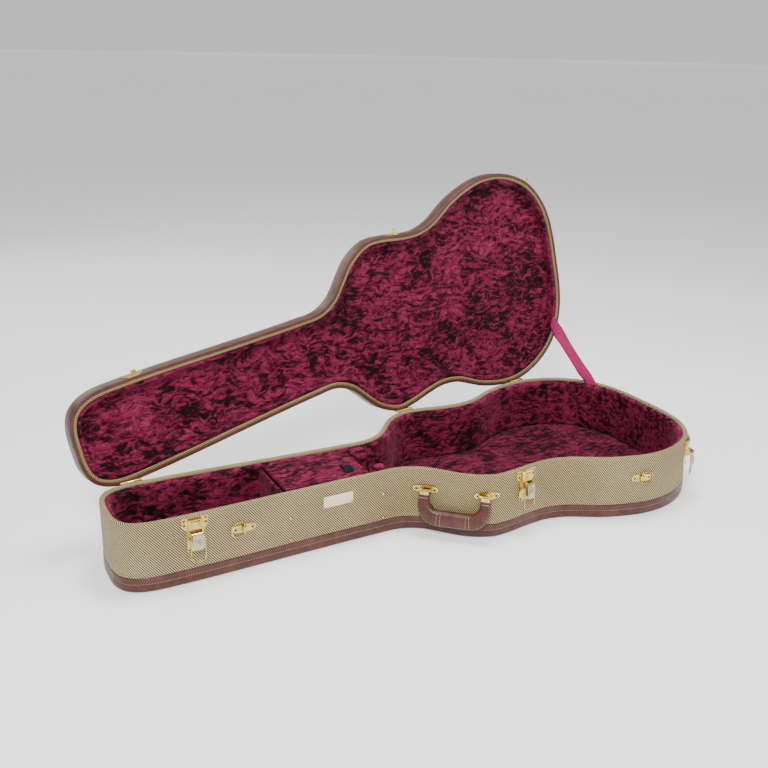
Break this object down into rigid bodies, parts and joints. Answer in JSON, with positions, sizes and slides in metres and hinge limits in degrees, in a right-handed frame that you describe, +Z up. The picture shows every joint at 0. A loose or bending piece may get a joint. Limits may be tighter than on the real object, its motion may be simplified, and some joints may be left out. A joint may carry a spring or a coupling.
{
  "type": "guitar case",
  "caption": "Hard guitar case on its back with its lid open: tweed walls, leather edges, plush lining, draw latches, handle, D-rings, neck cradle and accessory compartment.",
  "frame": {"origin": "centre of the underside, on the flat bottom cover, at the middle of the case's length", "axes": "+X along the centre line towards the lower bout (the headstock end is -X), -Y towards the latch and handle side, +Z up out of the open base"},
  "size_m": [1.1382, 0.5424, 0.5604],
  "materials": {
    "tweed": "woven cream and dark brown tweed, clear coated",
    "leather": "reddish brown leather, semi-gloss, stitched edges",
    "plush": "crimson crushed plush",
    "brass": "polished brass plate",
    "plated_steel": "pale brass-plated steel",
    "plywood": "plain plywood, covered",
    "webbing": "magenta woven webbing",
    "label": "blank pale rose plate",
    "ribbon": "black satin ribbon"
  },
  "bodies": {
    "base": {"base_bottom_cover": "tweed", "base_bottom_panel": "plywood", "base_floor_pad": "plush", "base_leather_band": "leather", "base_tweed_cover": "tweed", "base_wall": "plywood", "base_wall_lining": "plush", "compartment_end_panel": "plush", "handle_bracket_left": "brass", "handle_bracket_right": "brass", "hinge_1_base_leaf": "brass", "hinge_1_pin": "plated_steel", "hinge_2_base_leaf": "brass", "hinge_2_pin": "plated_steel", "hinge_3_base_leaf": "brass", "hinge_3_pin": "plated_steel", "label_plate": "label", "latch_1_housing": "brass", "latch_1_pin": "plated_steel", "latch_2_housing": "brass", "latch_2_pin": "plated_steel", "latch_3_housing": "brass", "latch_3_pin": "plated_steel", "neck_cradle": "plush", "stay_strap": "webbing", "strap_plate_left": "brass", "strap_plate_right": "brass", "wall_stud_1": "brass", "wall_stud_2": "brass", "wall_stud_3": "brass", "wall_stud_4": "brass"},
    "lid": {"hinge_1_lid_leaf": "brass", "hinge_2_lid_leaf": "brass", "hinge_3_lid_leaf": "brass", "latch_1_catch": "brass", "latch_2_catch": "brass", "latch_3_catch": "brass", "lid_leather_band": "leather", "lid_top_lining": "plush", "lid_top_panel": "tweed", "lid_valance": "tweed", "lid_wall": "plywood", "lid_wall_lining": "plush"},
    "latch_1_lever": {"latch_1_lever": "plated_steel"},
    "latch_1_bail": {"latch_1_bail": "plated_steel"},
    "latch_2_lever": {"latch_2_lever": "plated_steel"},
    "latch_2_bail": {"latch_2_bail": "plated_steel"},
    "latch_3_lever": {"latch_3_lever": "plated_steel"},
    "latch_3_bail": {"latch_3_bail": "plated_steel"},
    "lock_plug": {"lock_plug": "plated_steel"},
    "handle": {"handle_grip": "leather", "handle_link_left": "brass", "handle_link_right": "brass"},
    "d_ring_left": {"d_ring_left": "brass"},
    "d_ring_right": {"d_ring_right": "brass"},
    "compartment_lid": {"compartment_lid": "plush", "compartment_pull_tab": "ribbon"}
  },
  "joints": [
    {"name": "lid_hinge", "type": "hinge", "parent": "base", "child": "lid", "pos_m": [0, 0.1628, 0.116], "axis": [0.9871, 0.1599, 0], "range_deg": [0, 97], "deforming": ["stay_strap"]},
    {"name": "latch_1_lever_hinge", "type": "hinge", "parent": "base", "child": "latch_1_lever", "pos_m": [-0.43184, -0.09001, 0.088], "axis": [0.9999, 0.0149, 0], "range_deg": [-110, 6]},
    {"name": "latch_1_bail_hinge", "type": "hinge", "parent": "latch_1_lever", "child": "latch_1_bail", "pos_m": [-0.4318, -0.09322, 0.08331], "axis": [-0.9999, -0.0149, 0], "range_deg": [0, 186]},
    {"name": "latch_2_lever_hinge", "type": "hinge", "parent": "base", "child": "latch_2_lever", "pos_m": [0.1387, -0.1741, 0.088], "axis": [0.9873, 0.1586, 0], "range_deg": [-110, 6]},
    {"name": "latch_2_bail_hinge", "type": "hinge", "parent": "latch_2_lever", "child": "latch_2_bail", "pos_m": [0.13921, -0.17727, 0.08331], "axis": [-0.9873, -0.1586, 0], "range_deg": [0, 186]},
    {"name": "latch_3_lever_hinge", "type": "hinge", "parent": "base", "child": "latch_3_lever", "pos_m": [0.50245, -0.19159, 0.088], "axis": [0.7978, 0.6029, 0], "range_deg": [-110, 6]},
    {"name": "latch_3_bail_hinge", "type": "hinge", "parent": "latch_3_lever", "child": "latch_3_bail", "pos_m": [0.50439, -0.19415, 0.08331], "axis": [-0.7978, -0.6029, 0], "range_deg": [0, 186]},
    {"name": "lock_turn", "type": "hinge", "parent": "base", "child": "lock_plug", "pos_m": [0.13803, -0.16995, 0.101], "axis": [0.1586, -0.9873, 0], "range_deg": [0, 90]},
    {"name": "handle_hinge", "type": "hinge", "parent": "base", "child": "handle", "pos_m": [0.00981, -0.13609, 0.081], "axis": [-0.7436, 0.6687, 0], "range_deg": [0, 100]},
    {"name": "d_ring_left_hinge", "type": "hinge", "parent": "base", "child": "d_ring_left", "pos_m": [-0.35187, -0.08117, 0.0755], "axis": [0, 0, 1], "range_deg": [0, 175]},
    {"name": "d_ring_right_hinge", "type": "hinge", "parent": "base", "child": "d_ring_right", "pos_m": [0.3573, -0.22057, 0.0755], "axis": [0, 0, -1], "range_deg": [0, 175]},
    {"name": "compartment_lid_hinge", "type": "hinge", "parent": "base", "child": "compartment_lid", "pos_m": [-0.27, 0.0505, 0.1133], "axis": [1, 0, 0], "range_deg": [-95, 0]}
  ]
}
